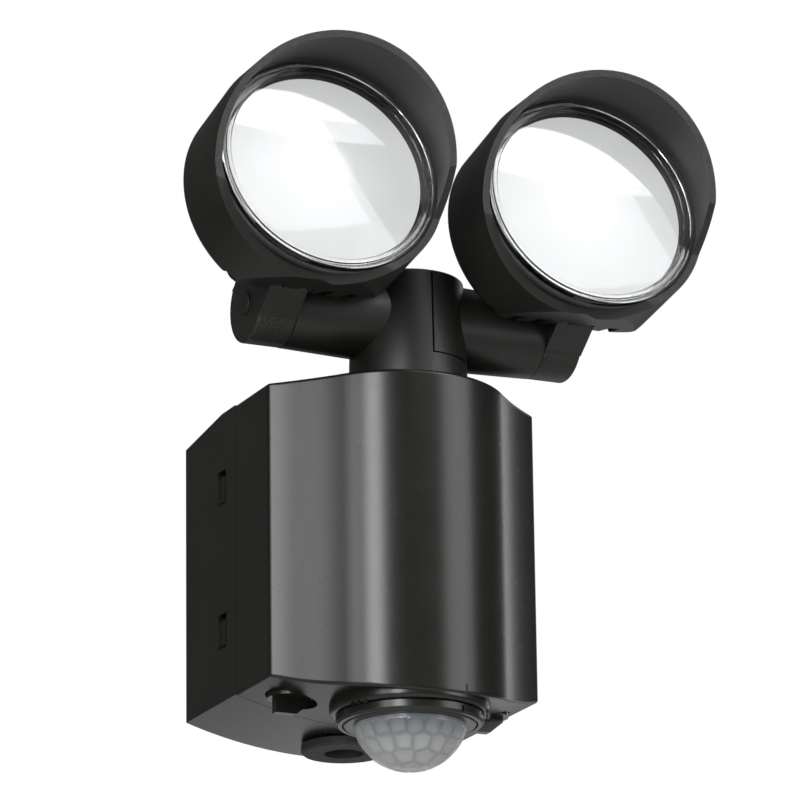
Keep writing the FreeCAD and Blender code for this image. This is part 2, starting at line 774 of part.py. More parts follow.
# ---------------------------------------------------------------- motion sensor and setting knobs

SENSOR = ("0", "-sensor_depth", "0")


def make_sensor():
    neck_bore = "sensor_neck_radius - sensor_neck_wall"
    ring_top = "sensor_boss_low - fit_gap"
    recess = "sensor_ring_low + sensor_recess_depth"
    groove_low = "sensor_boss_top + fit_gap"
    groove_top = "sensor_boss_top + fit_gap + retainer_height + 0.1"
    ring_body = turned([
        (neck_bore, recess),
        ("sensor_recess_radius", recess),
        ("sensor_recess_radius", "sensor_ring_low"),
        ("sensor_ring_radius - 0.8", "sensor_ring_low"),
        ("sensor_ring_radius", "sensor_ring_low + 0.8"),
        ("sensor_ring_radius", ring_top),
        ("sensor_neck_radius", ring_top),
        ("sensor_neck_radius", groove_low),
        ("sensor_neck_radius - groove_depth", groove_low),
        ("sensor_neck_radius - groove_depth", groove_top),
        ("sensor_neck_radius", groove_top),
        ("sensor_neck_radius", "sensor_neck_top"),
        ("sensor_neck_radius - 1.2", "sensor_neck_top"),
        ("sensor_neck_radius - 1.2", "sensor_board_low"),
        (neck_bore, "sensor_board_low"),
    ], SENSOR)
    pointer = centred_block(("mark_width", "mark_notch / 2", "2"),
                            ("mark_x", "-(sensor_depth + 0.93 * sensor_ring_radius)", "sensor_ring_low + 0.4"))
    piece("sensor_ring", cut(ring_body, pointer))
    bezel_top = "sensor_ring_low + sensor_recess_depth - dome_flange_height"
    piece("sensor_bezel", turned([
        ("dome_radius + slip_gap", "sensor_ring_low - 0.3"),
        ("sensor_recess_radius - fit_gap - 0.6", "sensor_ring_low - 0.3"),
        ("sensor_recess_radius - fit_gap", "sensor_ring_low + 0.3"),
        ("sensor_recess_radius - fit_gap", bezel_top),
        ("dome_radius + slip_gap", bezel_top),
    ], SENSOR))
    piece("sensor_dome", dome())
    board = cylinder("sensor_neck_radius - 1.2 - slip_gap", "sensor_board_thickness",
                     ("0", "-sensor_depth", "sensor_board_low"))
    piece("sensor_board", board)
    can = cylinder("pir_radius", "pir_height", ("0", "-sensor_depth", "sensor_board_low - pir_height"))
    rim = cylinder("pir_radius + 0.6", "0.6", ("0", "-sensor_depth", "sensor_board_low - 0.6"))
    piece("pir_element", fuse(can, rim))
    clip = ring("sensor_neck_radius + retainer_reach", "sensor_neck_radius - groove_depth + turn_gap",
                "retainer_height", ("0", "-sensor_depth", "sensor_boss_top + fit_gap + 0.05"))
    gap = centred_block(("6", "20", "retainer_height + 1"), ("0", "-sensor_depth + 20", "sensor_boss_top"))
    piece("sensor_retainer", cut(clip, gap))


def cap_sag(radius, depth):
    """Rise of the arc over the chord from a round cap's rim to its lowest point."""
    ball = f"((({radius})^2 + ({depth})^2) / (2 * ({depth})))"
    return f"{ball} * (1 - cos(atan(({depth}) / ({radius}))))"


def dome():
    """The domed lens: a hollow cap of one wall thickness with a flat flange."""
    seat = "sensor_ring_low + sensor_recess_depth"
    edge = f"{seat} - dome_flange_height"
    flange = "sensor_recess_radius - fit_gap - 1"
    belt = "sensor_ring_low - dome_belt"
    wall_x = "dome_radius - dome_wall"
    inner_low = "dome_low + dome_wall"
    return turned([
        (flange, seat),
        (wall_x, seat),
        (wall_x, belt, cap_sag(wall_x, f"{belt} - ({inner_low})")),
        ("0", inner_low),
        ("0", "dome_low", f"-{cap_sag('dome_radius', f'{belt} - dome_low')}"),
        ("dome_radius", belt),
        ("dome_radius", edge),
        (flange, edge),
    ], SENSOR)


def make_controls():
    """The control board on its two posts, the two setting pots and their knobs."""
    plate = centred_block(("2 * control_half_width", "control_run", "board_thickness"),
                          ("0", "-knob_depth", "control_low"))
    holes = []
    screws = []
    for side in (-1, 1):
        at = (f"{side} * control_post_x", "-knob_depth")
        holes.append(cylinder(SCREW_HOLE, "board_thickness + 2", (*at, "control_low - 1")))
        holes.append(cylinder("stem_radius + fit_gap", "board_thickness + 2",
                              (f"{side} * knob_x", "-knob_depth", "control_low - 1")))
        screws.append(screw((*at, "control_low"), "board_thickness", "up"))
    piece("control_board", cut(plate, *holes))
    piece("control_screws", doc_compound(screws))
    for side, purpose in ((-1, "time"), (1, "dusk")):
        x = f"{side} * knob_x"
        low = "control_low - pot_height"
        pot = centred_block(("pot_side", "pot_side", "pot_height"), (x, "-knob_depth", low))
        bore = cylinder("stem_radius + turn_gap", "pot_height + 2", (x, "-knob_depth", f"{low} - 1"))
        piece(f"{purpose}_pot", cut(pot, bore))
        make_knob(f"{purpose}_knob", x)


def make_knob(label, x):
    """A round knob in its pocket, with a grip blade that points one way and a stem up into its pot."""
    top = "knob_pocket_top - fit_gap"
    low = f"{top} - knob_height"
    disc = cylinder("knob_radius", "knob_height", (x, "-knob_depth", low))
    half = "blade_length / 2"
    blade = padded("XZ_Plane", [
        (f"-{half}", f"{low} + knob_height / 2"),
        (f"-{half}", f"{low} - blade_height"),
        (f"{half} - blade_slope", f"{low} - blade_height"),
        (half, f"{low} - blade_height / 4"),
        (half, f"{low} + knob_height / 2"),
    ], "blade_thickness", midplane=True)
    put(blade, (x, "-knob_depth", "0"))
    stem = cylinder("stem_radius", f"control_low - 1 - ({low}) - knob_height / 2",
                    (x, "-knob_depth", f"{low} + knob_height / 2"))
    piece(label, fuse(disc, blade, stem))


# ---------------------------------------------------------------- column and arms

COLUMN = "-column_depth"
ARM_AXIS = (COLUMN, "arm_height")


def axial(side, near, far):
    """Start of a length on the arms' axis, from its two distances off the column's axis."""
    return near if side > 0 else f"-({far})"


def column_cone(low, high):
    """A length of the slightly tapering column, between two heights."""
    slope = "(column_foot_radius - column_top_radius) / (column_top - pedestal_low)"
    start = f"column_foot_radius - (({low}) - pedestal_low) * {slope}"
    finish = f"column_foot_radius - (({high}) - pedestal_low) * {slope}"
    return cone(start, finish, f"({high}) - ({low})", ("0", COLUMN, low))


def column_half(side, low):
    """Half of the upright column, with its rounded top edge."""
    whole = round_part(column_cone(low, "column_top"), "column_round",
                       lambda edge: is_circle(edge, "column_top_radius", "column_top"))
    start = "-(column_foot_radius + 1)" if side < 0 else "column_slit"
    width = "column_foot_radius + 1" if side < 0 else "column_foot_radius"
    keep = block((width, "2 * column_foot_radius + 2", f"column_top - ({low}) + 2"),
                 (start, f"{COLUMN} - column_foot_radius - 1", f"({low}) - 1"))
    return common(whole, keep)


def arm_tube(side):
    """The tapered arm and its bore, from the column's middle to the arm's end."""
    start = "0" if side < 0 else "column_slit"
    bore_end = "arm_reach - arm_end_wall"
    ends = ["arm_root_radius", "arm_tip_radius"]
    if side < 0:
        ends.reverse()
    tube = cone(*ends, f"arm_reach - {start}", (axial(side, start, "arm_reach"), *ARM_AXIS), "along_x")
    hollow_from = f"{start} - 1"
    bore = cylinder("arm_bore", f"{bore_end} - ({hollow_from})",
                    (axial(side, hollow_from, bore_end), *ARM_AXIS), "along_x")
    near, far = f"{bore_end} - 1", "arm_reach + 1"
    tap = cylinder("pivot_radius + slip_gap", f"({far}) - ({near})",
                   (axial(side, near, far), *ARM_AXIS), "along_x")
    return tube, [bore, tap]


JOINING = [(f"{COLUMN} + joining_offset", z) for z in ("joining_low", "joining_high")]
HEAD_SEAT = "joining_length / 2 - joining_seat"


def joining_holes(radius, start):
    """The two holes that the joining screws pass or turn in."""
    return [cylinder(radius, "joining_length", (start, *place), "along_x") for place in JOINING]


def make_arms():
    well = cylinder("column_bore", "column_top - column_roof - pedestal_low - stud_bite",
                    ("0", COLUMN, "pedestal_low + stud_bite"))
    stud_hole = cylinder("stud_radius + slip_gap", "stud_bite + 1", ("0", COLUMN, "pedestal_low - 1"))
    feed = cylinder("stud_bore", "stud_bite + 2", ("0", COLUMN, "pedestal_low"))
    tube, bores = arm_tube(-1)
    pedestal = column_cone("pedestal_low", "pedestal_top")
    taps = joining_holes(SCREW_HOLE, "-joining_length / 2 - 1")
    left = cut(fuse(pedestal, column_half(-1, "pedestal_low"), tube), well, stud_hole, feed, *bores, *taps)
    piece("left_arm", left)
    low = "pedestal_top + step_gap"
    tube, bores = arm_tube(1)
    well_right = cylinder("column_bore", "column_top - column_roof - pedestal_low - stud_bite",
                          ("0", COLUMN, "pedestal_low + stud_bite"), "up_reversed")
    foot_room = cylinder("column_foot_radius + step_gap", "2 * arm_root_radius",
                         ("0", COLUMN, "pedestal_top + step_gap - 2 * arm_root_radius"))
    shanks = joining_holes(SCREW_HOLE, "-1")
    seats = joining_holes("screw_head_radius + slip_gap", HEAD_SEAT)
    right = cut(fuse(column_half(1, low), tube), well_right, foot_room, *bores, *shanks, *seats)
    piece("right_arm", right)
    screws = []
    for place in JOINING:
        shank = cylinder("screw_radius", "joining_length - joining_seat - joining_end_gap",
                         ("joining_end_gap - joining_length / 2", *place), "along_x")
        head = cylinder("screw_head_radius", "screw_head_height", (HEAD_SEAT, *place), "along_x")
        screws.append(fuse(shank, head))
    piece("joining_screws", doc_compound(screws))


def make_swivel():
    """The hollow stud that the column turns on, with its washer and nut under the cover's top."""
    stud_top = "pedestal_low + stud_bite - fit_gap"
    tube = ring("stud_radius", "stud_bore", f"{stud_top} - stud_low", ("0", COLUMN, "stud_low"))
    piece("swivel_stud", tube)
    washer_low = "cap_boss_low - fit_gap - washer_height"
    washer = ring("washer_radius", "stud_radius + turn_gap", "washer_height", ("0", COLUMN, washer_low))
    piece("swivel_washer", washer)
    nut = doc.addObject("Part::Prism", "Nut")
    nut.Polygon = 6
    bind(nut, "Circumradius", "nut_radius")
    bind(nut, "Height", "nut_height")
    nut_low = f"{washer_low} - nut_height"
    put(nut, ("0", COLUMN, nut_low))
    hole = cylinder("stud_radius + turn_gap", "nut_height + 2", ("0", COLUMN, f"{nut_low} - 1"))
    piece("swivel_nut", cut(nut, hole))


# ---------------------------------------------------------------- lamp heads

def head_put(thing, side, along="0"):
    """Places a thing of a lamp: its own Z axis lies on the light's axis, tilted up from level, and
    its zero is this far along from the foot of the square from the arms' axis."""
    at = (
        f"{side} * lamp_x",
        f"-column_depth + lamp_rise * sin(lamp_tilt) - ({along}) * cos(lamp_tilt)",
        f"arm_height + lamp_rise * cos(lamp_tilt) + ({along}) * sin(lamp_tilt)",
    )
    turn = FreeCAD.Rotation(Vec(1, 0, 0), 90 - number("lamp_tilt"))
    thing.Placement = FreeCAD.Placement(Vec(*(number(text) for text in at)), turn)
    for axis, text in zip("xyz", at):
        bind(thing, f"Placement.Base.{axis}", text)
    bind(thing, "Placement.Rotation.Angle", "90 - lamp_tilt")
    return thing


KNUCKLE_START = "arm_reach + knuckle_gap - lamp_x"
KNUCKLE_END = "knuckle_end - lamp_x"
KNUCKLE_WIDTH = "knuckle_end - arm_reach - knuckle_gap"
LENS_BACK = "lens_front - lens_thickness"
SEAT = "lens_front - lens_thickness - seal_height"


def tube_along(radius, near, far, side):
    """A cylinder on the arms' axis in a lamp's frame, between two distances from the lamp's axis
    that count outwards from the column."""
    low = near if side > 0 else f"-({far})"
    return cylinder(radius, f"({far}) - ({near})", (low, "-lamp_rise", "0"), "along_x")


def make_knuckle(side):
    """The knuckle barrel on the arms' axis and the neck that carries the bowl."""
    barrel = tube_along("knuckle_radius", KNUCKLE_START, KNUCKLE_END, side)
    outer = side * number(KNUCKLE_END)
    barrel = round_part(barrel, "knuckle_round", at_x(outer))
    tangent = "knuckle_radius * cos(45)"
    neck = padded("YZ_Plane", [
        (f"-lamp_rise - {tangent}", tangent),
        ("-lamp_rise - neck_foot", "bowl_floor - 2"),
        ("neck_top - lamp_rise", "bowl_floor - 2"),
        (f"{tangent} - lamp_rise", f"-{tangent}"),
    ], KNUCKLE_WIDTH)
    put(neck, (KNUCKLE_START if side > 0 else f"-({KNUCKLE_END})", "0", "0"))
    return [barrel, neck]


WIDE = "(3 * rim_radius)"        # a width that reaches past the lamp on every side


def visor_cut():
    """All that lies in front of the visor's slanting end, which is turned a little to one side."""
    middle = "lens_front + visor_reach"
    wedge = padded("YZ_Plane", [
        (f"-{WIDE}", f"{middle} - {WIDE} * tan(visor_rake)"),
        (WIDE, f"{middle} + {WIDE} * tan(visor_rake)"),
        (WIDE, f"{middle} + 2 * {WIDE}"),
        (f"-{WIDE}", f"{middle} + 2 * {WIDE}"),
    ], WIDE, midplane=True)
    wedge.Placement = FreeCAD.Placement(Vec(), FreeCAD.Rotation(Vec(0, 0, -1), number("visor_roll")))
    bind(wedge, "Placement.Rotation.Angle", "visor_roll")
    return wedge


def under_relief():
    """The sloping flat under the bowl, behind its rim."""
    start = "lens_front - relief_start"
    low = "-(rim_radius - relief_rise)"
    return padded("YZ_Plane", [
        (low, start),
        (f"-{WIDE}", start),
        (f"-{WIDE}", f"{start} - lens_front"),
        (f"{low} + lens_front * tan(relief_slope)", f"{start} - lens_front"),
    ], WIDE, midplane=True)


def make_lamp_body(side, label):
    """Bowl, visor and knuckle of one head, in one casting."""
    front = "lens_front + rim_height"
    end = "lens_front + visor_long"
    skin = turned([
        ("0", "bowl_back"),
        ("bowl_back_radius", "bowl_back", "-bowl_sag"),
        ("bowl_radius", "bowl_shoulder"),
        ("rim_radius", front),
        ("rim_radius - visor_taper", end),
        ("rim_radius - visor_taper - visor_wall", end),
        ("rim_radius - visor_wall", front),
        ("lens_radius + slip_gap", "lens_front"),
        ("lens_radius + slip_gap", SEAT),
        ("lens_radius - seal_width", SEAT),
        ("led_board_radius + fit_gap", "bowl_floor"),
        ("0", "bowl_floor"),
    ])
    above = visor_cut()
    below = padded("YZ_Plane", [
        ("-visor_end_drop", front),
        (f"-visor_end_drop + {WIDE} * tan(visor_end_slope)", f"{front} + {WIDE}"),
        (f"-{WIDE}", f"{front} + {WIDE}"),
        (f"-{WIDE}", front),
    ], WIDE, midplane=True)
    clear_of_arm = tube_along("tube_clearance", f"{KNUCKLE_START} - {WIDE}", KNUCKLE_START, side)
    clear_outside = tube_along("tube_clearance", KNUCKLE_END, f"{KNUCKLE_END} + {WIDE}", side)
    slots = []
    for step in range(int(number("fin_count"))):
        x = f"({step} - (fin_count - 1) / 2) * fin_pitch"
        slots.append(centred_block(("fin_slot", "2 * bowl_radius + 10", "fin_slot_floor - bowl_back + 10"),
                                   (x, "0", "bowl_back - 10")))
    finned = cut(skin, above, below, under_relief(), clear_of_arm, clear_outside, *slots)
    shank = tube_along("pivot_radius + turn_gap", f"{KNUCKLE_START} - 1", f"{KNUCKLE_END} + 1", side)
    recess = tube_along("plug_radius + turn_gap", f"{KNUCKLE_END} - pivot_recess", f"{KNUCKLE_END} + 5", side)
    hollow = cone("led_board_radius + fit_gap", "lens_radius - seal_width", f"{SEAT} - bowl_floor",
                  ("0", "0", "bowl_floor"))
    body = cut(fuse(finned, *make_knuckle(side)), hollow, shank, recess)
    piece(f"{label}_lamp_body", head_put(body, side))


def make_optics(side, label):
    """Seal, clear lens, reflector, board and light source of one lamp."""
    seal = ring("lens_radius", "lens_radius - seal_width", "seal_height", ("0", "0", SEAT))
    piece(f"{label}_lens_seal", head_put(seal, side))
    lens = turned([
        ("0", "lens_front - lens_step"),
        ("lens_window", "lens_front - lens_step"),
        ("lens_window + 0.4", "lens_front"),
        ("lens_groove", "lens_front"),
        ("lens_groove", "lens_front - lens_step"),
        ("lens_groove + lens_groove_width", "lens_front - lens_step"),
        ("lens_groove + lens_groove_width", "lens_front"),
        ("lens_radius - 0.6", "lens_front"),
        ("lens_radius", "lens_front - lens_step"),
        ("lens_radius", LENS_BACK),
        ("0", LENS_BACK),
    ])
    piece(f"{label}_lens", head_put(lens, side))
    floor = "bowl_floor + led_board_thickness + led_chip_height"
    rim = f"{LENS_BACK} - fit_gap - diffuser_thickness"
    diffuser = cylinder("diffuser_radius", "diffuser_thickness", ("0", "0", "0"))
    piece(f"{label}_diffuser", head_put(diffuser, side, rim))
    reflector = turned([
        ("reflector_throat", floor, "reflector_sag"),
        ("reflector_mouth", rim),
        ("reflector_mouth - reflector_wall * 1.5", rim, "-reflector_sag"),
        ("reflector_throat", f"{floor} + reflector_wall"),
    ])
    piece(f"{label}_reflector", head_put(reflector, side))
    board = cylinder("led_board_radius", "led_board_thickness", ("0", "0", "0"))
    piece(f"{label}_led_board", head_put(board, side, "bowl_floor"))
    chip = padded("XY_Plane", [
        ("-led_chip_side / 2", "-led_chip_side / 2"),
        ("led_chip_side / 2", "-led_chip_side / 2"),
        ("led_chip_side / 2", "led_chip_side / 2"),
        ("-led_chip_side / 2", "led_chip_side / 2"),
    ], "led_chip_height")
    piece(f"{label}_led", head_put(chip, side, "bowl_floor + led_board_thickness"))


def make_pivot(side, label):
    """The tilt screw through the knuckle into the arm's end, its washer and the plug over it."""
    seat = "knuckle_end - pivot_recess"
    head = f"{seat} + pivot_washer_height"
    tip = "arm_reach - arm_end_wall - 2"
    shank = cylinder("pivot_radius", f"{head} - ({tip})", (axial(side, tip, head), *ARM_AXIS), "along_x")
    cap = cylinder("pivot_head_radius", "pivot_head_height",
                   (axial(side, head, f"{head} + pivot_head_height"), *ARM_AXIS), "along_x")
    piece(f"{label}_tilt_screw", fuse(shank, cap))
    start = axial(side, f"{seat} + turn_gap", f"{seat} + pivot_washer_height")
    washer = ring("pivot_head_radius", "pivot_radius + turn_gap", "pivot_washer_height - turn_gap",
                  (start, *ARM_AXIS), "along_x")
    piece(f"{label}_tilt_washer", washer)
    plug_start, plug_end = "knuckle_end - plug_depth", "knuckle_end + plug_proud"
    plug = cylinder("plug_radius", "plug_depth + plug_proud",
                    (axial(side, plug_start, plug_end), *ARM_AXIS), "along_x")
    outer = side * number(plug_end)
    plug = round_part(plug, "plug_proud / 2", at_x(outer))
    piece(f"{label}_plug", plug)


# ---------------------------------------------------------------- build and write

make_rear_box()
make_gasket()
make_front_cover()
make_cable_gland()
make_terminal_block()
make_cable_clamp()
make_driver()
make_sensor()
make_controls()
make_arms()
make_swivel()
for lamp_side, lamp_label in ((-1, "left"), (1, "right")):
    make_lamp_body(lamp_side, lamp_label)
    make_optics(lamp_side, lamp_label)
    make_pivot(lamp_side, lamp_label)
doc.recompute()

faults = [thing.Label for thing in doc.Objects if {"Invalid", "Error"} & set(thing.State)]
faults += [thing.Label for thing in pieces if thing.Shape.isNull() or not thing.Shape.isValid()]
if faults:
    raise SystemExit(f"not built: {sorted(set(faults))}")
os.makedirs("parts", exist_ok=True)
for thing in pieces:
    thing.Shape.exportStep(f"parts/{thing.Label}.step")
    print(f"{thing.Label}: {len(thing.Shape.Solids)} solid(s), {thing.Shape.Volume / 1000:.2f} cm3")
print(len(pieces), "sub-parts")
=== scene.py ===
"""Looks of the motion sensor security light: finishes, finer lenses, studio and camera."""
import json
import math

import bmesh
import bpy
from mathutils import Matrix, Vector


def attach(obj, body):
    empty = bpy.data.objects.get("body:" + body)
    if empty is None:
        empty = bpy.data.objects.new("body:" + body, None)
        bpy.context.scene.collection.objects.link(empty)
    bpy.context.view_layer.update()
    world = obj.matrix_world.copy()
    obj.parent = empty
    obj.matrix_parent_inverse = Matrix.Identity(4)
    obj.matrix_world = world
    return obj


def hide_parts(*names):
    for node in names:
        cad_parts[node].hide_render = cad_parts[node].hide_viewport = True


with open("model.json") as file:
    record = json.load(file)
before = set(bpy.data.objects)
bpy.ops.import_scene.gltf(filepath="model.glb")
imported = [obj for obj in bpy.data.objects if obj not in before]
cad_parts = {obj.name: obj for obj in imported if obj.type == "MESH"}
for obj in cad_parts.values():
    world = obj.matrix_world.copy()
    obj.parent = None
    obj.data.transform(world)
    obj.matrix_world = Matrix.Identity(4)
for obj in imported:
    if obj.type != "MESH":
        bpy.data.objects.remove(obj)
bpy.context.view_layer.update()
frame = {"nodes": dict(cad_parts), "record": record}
MM = 0.001

# sizes of the light, as its frame has them
ARM_Y, ARM_Z = -77.3 * MM, 76.5 * MM          # the arms' axis, which the heads tilt on
KNUCKLE_RADIUS = 13.7 * MM
LAMP_X = 49.0 * MM                            # each lamp's axis, left and right
LAMP_RISE = 27.2 * MM                         # lamp axis above the arms' axis
LAMP_TILT = math.radians(10.9)
LENS_FRONT = 49.4 * MM
LENS_RADIUS = 38.9 * MM
LENS_THICKNESS = 2.4 * MM
SENSOR_Y = -75.0 * MM
DOME_RADIUS = 18.9 * MM
DOME_LOW = -80.0 * MM
DOME_BELT = -66.0 * MM                        # where the dome's straight side starts
DOME_SEAT = -62.4 * MM
DOME_FLANGE = 21.6 * MM
DOME_FLANGE_HEIGHT = 0.8 * MM
LIGHT_WAY = Vector((0, -math.cos(LAMP_TILT), math.sin(LAMP_TILT)))


def lamp_point(side, across, up, forward):
    """A place in a lamp's own frame: across, up and forward along its light's axis."""
    rise = LAMP_RISE + up
    return Vector((side * LAMP_X + across,
                   ARM_Y + rise * math.sin(LAMP_TILT) - forward * math.cos(LAMP_TILT),
                   ARM_Z + rise * math.cos(LAMP_TILT) + forward * math.sin(LAMP_TILT)))


# ---------------------------------------------------------------- node helpers

class Finish:
    """One material with short calls for its nodes."""

    def __init__(self, name):
        self.material = bpy.data.materials.new(name)
        self.material.use_nodes = True
        self.tree = self.material.node_tree
        self.shader = self.tree.nodes["Principled BSDF"]
        coordinates = self.tree.nodes.new("ShaderNodeTexCoord")
        self.place = coordinates.outputs["Object"]
        self.normal = coordinates.outputs["Normal"]

    def feed(self, socket, value):
        """Sets a socket to a number, vector or colour, or links it to another node's output."""
        if isinstance(value, bpy.types.NodeSocket):
            self.tree.links.new(value, socket)
        elif isinstance(value, tuple) and len(socket.default_value) == 4:
            socket.default_value = (*value, 1)
        else:
            socket.default_value = value

    def give(self, **values):
        """Sets or links the shader's own sockets."""
        for name, value in values.items():
            self.feed(self.shader.inputs[name.replace("_", " ")], value)

    def node(self, kind, inputs, **settings):
        """Adds a node, with its inputs by name or number."""
        made = self.tree.nodes.new(kind)
        for name, value in settings.items():
            setattr(made, name, value)
        for socket, value in inputs.items():
            self.feed(made.inputs[socket], value)
        return made

    def number(self, operation, first, second):
        return self.node("ShaderNodeMath", {0: first, 1: second}, operation=operation).outputs[0]

    def vector(self, operation, first, second, output="Value"):
        made = self.node("ShaderNodeVectorMath", {0: first, 1: second}, operation=operation)
        return made.outputs[output]

    def facing(self, way):
        """How far the surface faces one way, from -1 to 1."""
        return self.vector("DOT_PRODUCT", self.normal, way)

    def along(self, way, start):
        """Distance along one way from a starting point."""
        return self.vector("DOT_PRODUCT", self.vector("SUBTRACT", self.place, start, "Vector"), way)

    def away(self, point, counted=(1, 1, 1)):
        """Distance from a point, along the axes that are counted."""
        moved = self.vector("SUBTRACT", self.place, point, "Vector")
        kept = self.vector("MULTIPLY", moved, counted, "Vector")
        return self.node("ShaderNodeVectorMath", {0: kept}, operation="LENGTH").outputs["Value"]

    def noise(self, scale, detail, roughness=0.5):
        """Cloudy value from 0 to 1, with this many clouds to the metre."""
        inputs = {"Scale": scale, "Detail": detail, "Roughness": roughness, "Vector": self.place}
        return self.node("ShaderNodeTexNoise", inputs).outputs["Fac"]

    def ramp(self, fac, stops):
        """The colour at each stop, and blends between them."""
        made = self.node("ShaderNodeValToRGB", {"Fac": fac})
        elements = made.color_ramp.elements
        while len(elements) < len(stops):
            elements.new(0.5)
        for element, (at, colour) in zip(elements, stops):
            element.position = at
            element.color = (*colour, 1)
        return made.outputs["Color"]

    def drift(self, scale, dark, light):
        """Cloudy drift from one colour to another."""
        return self.ramp(self.noise(scale, detail=3), [(0.3, dark), (0.7, light)])

    def spread(self, fac, low, high, start=0.0, end=1.0):
        """The value from start to end, spread from low to high."""
        inputs = {"Value": fac, "From Min": start, "From Max": end, "To Min": low, "To Max": high}
        return self.node("ShaderNodeMapRange", inputs).outputs["Result"]

    def share(self, fac, start, end):
        """How far the value has come from start to end, from 0 to 1."""
        return self.spread(fac, 0, 1, start, end)

    def blend(self, fac, first, second, how="MIX"):
        """Mixes or multiplies two colours."""
        made = self.node("ShaderNodeMix", {0: fac, 6: first, 7: second}, data_type="RGBA", blend_type=how)
        return made.outputs[2]

    def bump(self, height, strength, distance, under=None):
        """Relief of this height, over any relief under it."""
        inputs = {"Height": height, "Strength": strength, "Distance": distance}
        if under is not None:
            inputs["Normal"] = under
        return self.node("ShaderNodeBump", inputs).outputs["Normal"]


# ---------------------------------------------------------------- finishes

BLACK_DARK, BLACK_LIGHT = (0.0062, 0.0059, 0.0051), (0.0088, 0.0084, 0.0073)
BLACK_CLOUDS = 38                             # colour clouds to the metre
ARM_LIGHT = (0.0115, 0.011, 0.0098)
HEAD_LIGHT = (0.0125, 0.012, 0.0108)
HEAD_SPECKLE = (0.02, 0.0195, 0.018)
# pale grey of the dome's painted sheen at its silhouette
PAINTED_EDGE_SHEEN = (0.6, 0.6, 0.59)
COLOUR_DRIFT = 0.12                           # share that a plain finish's colour drifts by
GLOSS_DRIFT = 0.15                            # share that its roughness drifts by
HOT_SPOT = (-1.9 * MM, 0.6 * MM, LENS_FRONT - 3 * MM)    # brightest place of a disc, in its lamp's frame
GLOW_REACH = 38 * MM
# share of the way out from the hot spot, and strength of the glow there
GLOW = ((0.0, 1.0), (0.18, 0.85), (0.36, 0.6), (0.7, 0.54), (1.0, 0.52))
JOINT_REACH = 3.0                             # value of cell_joint where a cell's painted highlight is at its palest


def moulded_black(name, light, rough_low, rough_high, grain_scale, grain_depth):
    """Black moulded surface: a fine grain, cloudy sheen and slight colour drift."""
    finish = Finish(name)
    grain = finish.noise(grain_scale, detail=2, roughness=0.6)
    finish.give(Base_Color=finish.drift(BLACK_CLOUDS, BLACK_DARK, light),
                Roughness=finish.spread(finish.noise(scale=220, detail=4), rough_low, rough_high),
                Normal=finish.bump(grain, strength=0.5, distance=grain_depth))
    return finish


def plain(name, colour, roughness, metallic=0.0):
    """Simple moulded or metal surface with a little drift in colour and a fine grain."""
    finish = Finish(name)
    low = tuple(channel * (1 - COLOUR_DRIFT) for channel in colour)
    high = tuple(min(channel * (1 + COLOUR_DRIFT), 1) for channel in colour)
    smooth, rough = roughness * (1 - GLOSS_DRIFT), min(roughness * (1 + GLOSS_DRIFT), 1)
    finish.give(Base_Color=finish.drift(60, low, high),
                Roughness=finish.spread(finish.noise(scale=300, detail=3), smooth, rough),
                Normal=finish.bump(finish.noise(scale=600, detail=3), strength=0.4, distance=0.03 * MM),
                Metallic=metallic)
    return finish


def cast_head():
    """Black cast head: smooth satin skin, with a speckled grain on its front lip and knuckle."""
    finish = Finish("cast_black_head")
    front = finish.share(finish.facing(LIGHT_WAY), 0.55, 0.75)
    ahead = finish.along(LIGHT_WAY, lamp_point(1, 0, 0, LENS_FRONT))
    lip = finish.number("MULTIPLY", front, finish.share(ahead, 0, 0.5 * MM))
    from_axis = finish.away((0, ARM_Y, ARM_Z), counted=(0, 1, 1))
    knuckle = finish.spread(from_axis, 1, 0, start=KNUCKLE_RADIUS + 0.1 * MM, end=KNUCKLE_RADIUS + 0.9 * MM)
    grained = finish.number("MAXIMUM", lip, knuckle)
    grain = finish.noise(scale=1900, detail=2, roughness=0.6)
    fine = finish.bump(finish.noise(scale=1700, detail=2, roughness=0.6), strength=0.35, distance=0.04 * MM)
    speckle = finish.number("MULTIPLY", grained, finish.share(grain, 0.5, 0.62))
    skin = finish.drift(BLACK_CLOUDS, BLACK_DARK, HEAD_LIGHT)
    finish.give(Base_Color=finish.blend(speckle, skin, HEAD_SPECKLE),
                Roughness=finish.spread(grained, 0.42, 0.36),
                Normal=finish.bump(grain, grained, distance=0.5 * MM, under=fine))
    return finish


def frosted_diffuser():
    """White frosted disc that glows, most of all near its middle."""
    finish = Finish("frosted_diffuser")
    left, right = (finish.away(lamp_point(side, *HOT_SPOT)) for side in (-1, 1))
    nearest = finish.share(finish.number("MINIMUM", left, right), 0, GLOW_REACH)
    finish.give(Base_Color=finish.drift(90, (0.21, 0.213, 0.213), (0.23, 0.233, 0.233)),
                Roughness=0.6,
                Emission_Color=(1.0, 1.0, 0.995),
                Emission_Strength=finish.ramp(nearest, [(at, (level,) * 3) for at, level in GLOW]),
                Normal=finish.bump(finish.noise(scale=900, detail=2), strength=0.3, distance=0.03 * MM))
    return finish


def clear_lens():
    """Clear moulded lens with very slight waves."""
    finish = Finish("clear_lens")
    finish.give(Base_Color=(0.97, 0.98, 0.99), Transmission_Weight=1.0, IOR=1.5,
                Roughness=finish.spread(finish.noise(scale=160, detail=3), 0.015, 0.04),
                Normal=finish.bump(finish.noise(scale=120, detail=2), strength=0.15, distance=0.02 * MM))
    return finish


